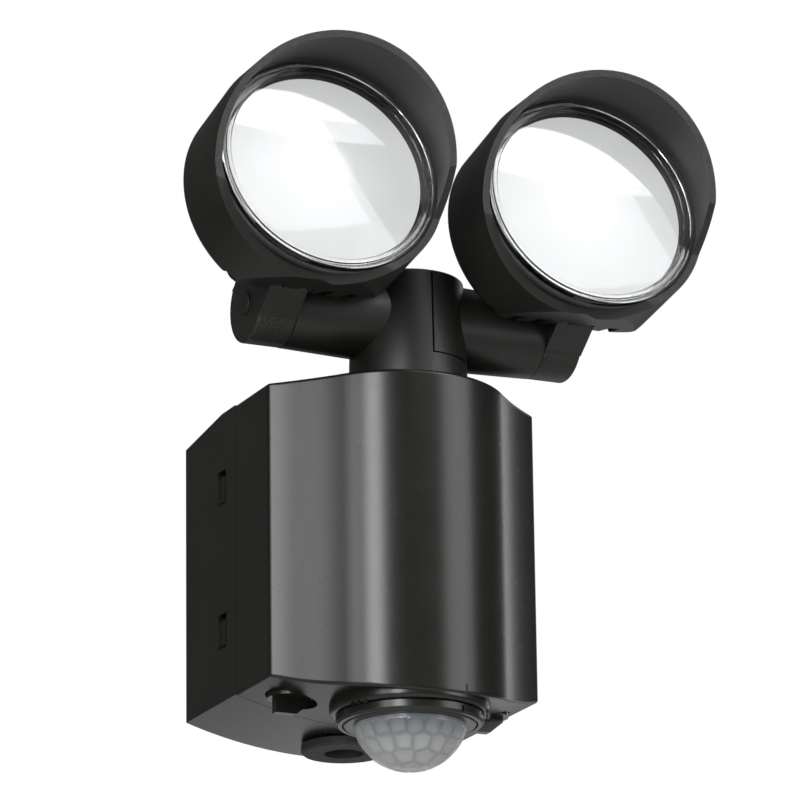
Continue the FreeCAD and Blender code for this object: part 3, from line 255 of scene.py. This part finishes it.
def milky_dome():
    """Milky lens of the sensor, with painted shade that greys it near the ring, painted shade at the joints
    and a painted highlight in each cell's middle, and a painted sheen that makes it paler at its
    silhouette.
    """
    finish = Finish("milky_dome")
    height = finish.share(finish.along((0, 0, 1), (0, 0, 0)), DOME_LOW, DOME_SEAT)
    # painted shade: the dome's colour is greyer and bluer towards the ring and lighter towards its lowest
    # point
    height_shade = finish.ramp(height, [
        (0.0, (0.44, 0.44, 0.43)), (0.35, (0.36, 0.365, 0.365)), (0.55, (0.25, 0.265, 0.28)),
        (0.85, (0.15, 0.165, 0.18)), (1.0, (0.1, 0.11, 0.12)),
    ])
    joint = finish.node("ShaderNodeAttribute", {}, attribute_name="cell_joint").outputs["Fac"]
    # painted shade and highlight: each cell is darker at its joints and palest in its middle, shaded in
    # colour like a pillow
    cell = finish.ramp(finish.share(joint, 0, JOINT_REACH), [
        (0.0, (0.5, 0.51, 0.52)), (0.12, (0.78, 0.79, 0.8)),
        (0.45, (1.0, 1.0, 1.0)), (1.0, (1.12, 1.12, 1.12)),
    ])
    # painted sheen: the colour is blended towards a pale grey where the surface turns away from the view,
    # at the dome's silhouette
    edge_sheen = finish.node("ShaderNodeLayerWeight", {"Blend": 0.22}).outputs["Facing"]
    finish.give(Base_Color=finish.blend(edge_sheen, finish.blend(1.0, height_shade, cell, "MULTIPLY"), PAINTED_EDGE_SHEEN),
                Roughness=0.3, Coat_Weight=0.25, Coat_Roughness=0.15,
                Normal=finish.bump(finish.noise(scale=900, detail=2), strength=0.25, distance=0.02 * MM))
    return finish


white = plain("white_reflector", (0.85, 0.86, 0.87), 0.25)
lens_finish = clear_lens()
dome_finish = milky_dome()
pale_part = plain("pale_component", (0.6, 0.6, 0.57), 0.5)
zinc = plain("zinc_plate", (0.6, 0.6, 0.62), 0.35, 1.0)

BY_SLOT = {
    "housing": moulded_black("satin_black_housing", BLACK_LIGHT, 0.24, 0.29, 2600, 0.02 * MM),
    "arms": moulded_black("satin_black_arms", ARM_LIGHT, 0.36, 0.46, 1500, 0.05 * MM),
    "heads": cast_head(),
    "rubber": plain("matte_rubber", (0.022, 0.022, 0.022), 0.7),
    "lens_clear": lens_finish,
    "dome": dome_finish,
    "diffuser": frosted_diffuser(),
    "reflector_white": white,
    "led_board": pale_part,
    "led_chip": white,
    "circuit_board": plain("green_circuit_board", (0.03, 0.16, 0.06), 0.35),
    "electrics": plain("dark_component", (0.05, 0.05, 0.055), 0.4),
    "electrics_pale": pale_part,
    "copper_core": zinc,
    "zinc": zinc,
    "brass": plain("brass", (0.7, 0.5, 0.2), 0.3, 1.0),
}
SLOT_OF = {entry["node"]: entry["material_slot"] for entry in frame["record"]["subparts"]}
for node_name, thing in frame["nodes"].items():
    thing.data.materials.clear()
    thing.data.materials.append(BY_SLOT[SLOT_OF[node_name]].material)


# ---------------------------------------------------------------- modelling helpers

def start_piece(add, **settings):
    """Adds one primitive with nothing else selected, and enters edit mode with all of it selected."""
    bpy.ops.object.select_all(action="DESELECT")
    add(**settings)
    bpy.ops.object.mode_set(mode="EDIT")
    bpy.ops.mesh.select_mode(type="FACE")
    bpy.ops.mesh.select_all(action="SELECT")
    return bpy.context.object


def pick_faces(wanted, least=0.0):
    """Selects the faces whose middle and normal pass the test, from this area up."""
    shape = bmesh.from_edit_mesh(bpy.context.object.data)
    for part in (*shape.verts, *shape.edges, *shape.faces):
        part.select = False
    for face in shape.faces:
        if face.calc_area() >= least and wanted(face.calc_center_median(), face.normal):
            face.select = True
    shape.select_flush_mode()
    bmesh.update_edit_mesh(bpy.context.object.data)


def extrude(rise):
    """Extrudes the selected faces straight up."""
    bpy.ops.mesh.extrude_region_move(TRANSFORM_OT_translate={"value": (0, 0, rise)})


def end_piece(name, finish, body, smooth):
    """Sets the place into the mesh, smooths it up to an angle, and gives name, finish and body."""
    thing = bpy.context.object
    bpy.ops.object.transform_apply(location=True, rotation=True, scale=True)
    bpy.ops.object.shade_smooth_by_angle(angle=math.radians(smooth))
    thing.name = name
    thing.data.materials.append(finish.material)
    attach(thing, body)
    return thing


# ---------------------------------------------------------------- sensor's lens

DOME_DEPTH = DOME_BELT - DOME_LOW
DOME_BALL = (DOME_RADIUS ** 2 + DOME_DEPTH ** 2) / (2 * DOME_DEPTH)
DOME_MIDDLE = Vector((0, SENSOR_Y, DOME_LOW + DOME_BALL))
DOME_SIDES = 114
CELL_ROWS = (                    # degrees up from the lowest point, number of cells, turn of the first
    (67.3, 19, 0.0),
    (48.9, 15, 14.4),
    (29.7, 9, 3.0),
    (11.5, 5, -20.0),
)
CELL_SINK = 0.36 * MM            # how far the cells' planes lie inside the round form
CELL_LEAST = 12 * MM ** 2        # smallest area of a lens cell
CELL_STEPS = (                   # pillow of a cell, from its joints in: inset and rise
    (0.3 * MM, 0.15 * MM),
    (0.35 * MM, 0.12 * MM),
)
CLOSE = 0.9 * MM                 # corners closer than this become one
CUT = 0.0005 * MM                # how near a cut a corner counts as lying on it
NUB_HEIGHT = 0.45 * MM           # moulding nub at the dome's lowest point
NUB_INSET = 0.9 * MM
NUB_REACH = 0.3 * MM             # how far the nub's middle may lie from the dome's axis
DOME_RECESS = 17.6 * MM          # radius of the recess in the lens's top, which ends level with the belt
NO_JOINT = 9.0                   # value of cell_joint on the belt and flange


def cell_ways():
    """The direction from the dome's middle that each lens cell faces."""
    for polar, count, first in CELL_ROWS:
        low = math.radians(polar)
        for step in range(count):
            turn = math.radians(first + 360 / count * step)
            yield Vector((math.sin(low) * math.sin(turn), -math.sin(low) * math.cos(turn), -math.cos(low)))


def is_cell(middle, normal):
    """Looks down and outwards, which the cut for the nub doesn't."""
    return -0.999 < normal.z < -0.1


def is_cap(middle, normal):
    return normal.z > 0.9 and middle.z > DOME_BELT


def is_nub(middle, normal):
    return math.hypot(middle.x, middle.y - SENSOR_Y) < NUB_REACH and normal.z < -0.9


def cut_away(point, way):
    """Cuts off what lies beyond a plane, and closes the cut."""
    bpy.ops.mesh.select_all(action="SELECT")
    bpy.ops.mesh.bisect(plane_co=point, plane_no=way, use_fill=True, clear_outer=True, threshold=CUT)


def step_to(radius, start_radius, height):
    """Starts a ledge: extrudes the cap on the spot and scales it about the dome's axis."""
    scale = radius / start_radius
    extrude(0)
    bpy.ops.transform.resize(value=(scale, scale, 1), center_override=(0, SENSOR_Y, height))


def mark_joints(lens, ways):
    """Writes how far, in millimetres, each point leads towards its own cell over the next one."""
    joint = lens.data.attributes.new("cell_joint", "FLOAT", "POINT")
    for vert in lens.data.vertices:
        away = vert.co - DOME_MIDDLE
        second, nearest = sorted(away.dot(way) for way in ways)[-2:]
        joint.data[vert.index].value = (nearest - second) / MM if vert.co.z < DOME_BELT else NO_JOINT


def make_sensor_lens():
    """The sensor's dome: rows of pillowed lens cells, a belt and a flange, with a recess on top."""
    ways = list(cell_ways())
    top = DOME_SEAT - DOME_FLANGE_HEIGHT
    start_piece(bpy.ops.mesh.primitive_cylinder_add, vertices=DOME_SIDES, radius=DOME_RADIUS,
                depth=top - DOME_LOW, end_fill_type="NGON", location=(0, SENSOR_Y, (top + DOME_LOW) / 2))
    for way in ways:
        cut_away(DOME_MIDDLE + way * (DOME_BALL - CELL_SINK), way)
    cut_away((0, SENSOR_Y, DOME_LOW + NUB_HEIGHT), (0, 0, -1))
    bpy.ops.mesh.select_all(action="SELECT")
    bpy.ops.mesh.remove_doubles(threshold=CLOSE)
    pick_faces(is_cell, least=CELL_LEAST)
    bpy.ops.transform.edge_crease(value=1)
    for inset, rise in CELL_STEPS:
        bpy.ops.mesh.inset(thickness=inset, depth=rise, use_individual=True)
    pick_faces(is_nub)
    bpy.ops.transform.edge_crease(value=1)
    bpy.ops.mesh.inset(thickness=NUB_INSET, depth=0.0)
    extrude(-NUB_HEIGHT)
    pick_faces(is_cap)
    step_to(DOME_FLANGE, DOME_RADIUS, top)
    extrude(DOME_FLANGE_HEIGHT)
    step_to(DOME_RECESS, DOME_FLANGE, DOME_SEAT)
    extrude(DOME_BELT - DOME_SEAT)
    bpy.ops.object.mode_set(mode="OBJECT")
    rounding = bpy.context.object.modifiers.new("Rounding", "SUBSURF")
    rounding.levels = rounding.render_levels = 2
    bpy.ops.object.modifier_apply(modifier=rounding.name)
    lens = end_piece("sensor_lens_cells", dome_finish, "sensor", smooth=14)
    mark_joints(lens, ways)
    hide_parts("sensor_dome")


make_sensor_lens()


# ---------------------------------------------------------------- lamp lenses

LENS_SIDES = 144
RING_LIFT = 0.35 * MM            # how far the outer ring stands above the lens's edge
EDGE_ROUND = 0.1 * MM
LENS_RING = (                    # steps of the lens's front, from its edge in: inset and rise
    (0.5 * MM, RING_LIFT),
    (0.7 * MM, 0.0),
    (0.12 * MM, -0.55 * MM),
    (0.5 * MM, 0.0),
    (0.12 * MM, 0.55 * MM),
    (1.35 * MM, 0.0),
    (0.3 * MM, -0.4 * MM),
)


def make_lens(side, label):
    """Clear lens of one lamp: a flat window in a stepped ring with rounded edges."""
    lens = start_piece(bpy.ops.mesh.primitive_cylinder_add, vertices=LENS_SIDES, radius=LENS_RADIUS,
                       depth=LENS_THICKNESS - RING_LIFT, end_fill_type="NGON",
                       location=(0, 0, -(LENS_THICKNESS + RING_LIFT) / 2))
    pick_faces(lambda middle, normal: normal.z > 0.9)
    for inset, rise in LENS_RING:
        bpy.ops.mesh.inset(thickness=inset, depth=rise)
    bpy.ops.mesh.select_mode(type="EDGE")
    bpy.ops.mesh.select_all(action="DESELECT")
    bpy.ops.mesh.edges_select_sharp(sharpness=math.radians(25))
    bpy.ops.mesh.bevel(offset=EDGE_ROUND, segments=3, affect="EDGES")
    bpy.ops.mesh.select_mode(type="FACE")
    bpy.ops.object.mode_set(mode="OBJECT")
    lens.rotation_euler = (math.pi / 2 - LAMP_TILT, 0, 0)
    lens.location = lamp_point(side, 0, 0, LENS_FRONT)
    end_piece(f"{label}_lens_ringed", lens_finish, f"{label}_head", smooth=30)
    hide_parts(f"{label}_lens")


for lamp_side, lamp_label in ((-1, "left"), (1, "right")):
    make_lens(lamp_side, lamp_label)


# ---------------------------------------------------------------- studio

LIT_POINT = Vector((0, -0.07, 0.02))          # the place in the part that the soft boxes stand around
AMBIENT = 0.09                                # strength of the surroundings' light on the part
FLOOR_SIZE, FLOOR_Z = 12, -1.3                # metres


def soft_box(name, heading, lift, distance, width, height, power):
    """A soft light: degrees right of the light's front and above level, then metres and watts."""
    turn, up = math.radians(heading), math.radians(lift)
    way = Vector((math.sin(turn) * math.cos(up), -math.cos(turn) * math.cos(up), math.sin(up)))
    lamp = bpy.data.lights.new(name, "AREA")
    lamp.shape = "RECTANGLE"
    lamp.size, lamp.size_y, lamp.energy = width, height, power
    holder = bpy.data.objects.new(name, lamp)
    bpy.context.scene.collection.objects.link(holder)
    holder.location = LIT_POINT + way * distance
    holder.rotation_euler = way.to_track_quat("Z", "Y").to_euler()
    holder.visible_camera = False


soft_box("left_front", -42, 17, distance=1.6, width=0.42, height=2.2, power=31)
soft_box("left_side", -62, 17, distance=1.6, width=0.22, height=2.2, power=9)
soft_box("right_strip", 43, 17, distance=1.6, width=0.85, height=2.0, power=15)
soft_box("right_rim", 121, 17, distance=1.4, width=0.25, height=1.8, power=2.5)
soft_box("overhead", -10, 78, distance=1.5, width=1.4, height=1.4, power=4)
soft_box("below_behind", 155, -17, distance=1.6, width=1.2, height=0.8, power=1.5)
soft_box("arm_glow", 25, 33, distance=1.6, width=1.4, height=0.25, power=6)


def backdrop(sky, strength):
    """White surroundings of this strength."""
    made = sky.nodes.new("ShaderNodeBackground")
    made.inputs["Color"].default_value = (1, 1, 1, 1)
    made.inputs["Strength"].default_value = strength
    return made.outputs["Background"]


world = bpy.data.worlds.new("studio")
bpy.context.scene.world = world
world.use_nodes = True
sky = world.node_tree
for old in list(sky.nodes):
    sky.nodes.remove(old)
out = sky.nodes.new("ShaderNodeOutputWorld")
choice = sky.nodes.new("ShaderNodeMixShader")
ray = sky.nodes.new("ShaderNodeLightPath")
sky.links.new(ray.outputs["Is Camera Ray"], choice.inputs["Fac"])
sky.links.new(backdrop(sky, AMBIENT), choice.inputs[1])
sky.links.new(backdrop(sky, 1.0), choice.inputs[2])
sky.links.new(choice.outputs["Shader"], out.inputs["Surface"])

bpy.ops.object.select_all(action="DESELECT")
bpy.ops.mesh.primitive_plane_add(size=FLOOR_SIZE, location=(0, 0, FLOOR_Z))
floor = bpy.context.object
floor.name = "floor"
floor.data.materials.append(plain("pale_floor", (0.85, 0.85, 0.84), 0.8).material)

# ---------------------------------------------------------------- camera

CAMERA_AT = Vector((-0.76067, -1.70244, -0.49935))
CAMERA_TURN, CAMERA_LIFT, CAMERA_ROLL = math.radians(24.99), math.radians(17.0), math.radians(-0.76)
CAMERA_LENS, CAMERA_SENSOR = 247.5, 36.0      # millimetres
CAMERA_REACH = 50

forward = Vector((math.sin(CAMERA_TURN) * math.cos(CAMERA_LIFT),
                  math.cos(CAMERA_TURN) * math.cos(CAMERA_LIFT), math.sin(CAMERA_LIFT)))
right = Vector((math.cos(CAMERA_TURN), -math.sin(CAMERA_TURN), 0))
up = right.cross(forward)
rolled_right = right * math.cos(CAMERA_ROLL) + up * math.sin(CAMERA_ROLL)
rolled_up = up * math.cos(CAMERA_ROLL) - right * math.sin(CAMERA_ROLL)
view = bpy.data.cameras.new("camera")
view.lens, view.sensor_width = CAMERA_LENS, CAMERA_SENSOR
view.clip_end = CAMERA_REACH
camera = bpy.data.objects.new("camera", view)
bpy.context.scene.collection.objects.link(camera)
facing = Matrix((rolled_right, rolled_up, -forward)).transposed().to_4x4()
camera.matrix_world = Matrix.Translation(CAMERA_AT) @ facing
bpy.context.scene.camera = camera
bpy.context.scene.view_settings.view_transform = "Standard"
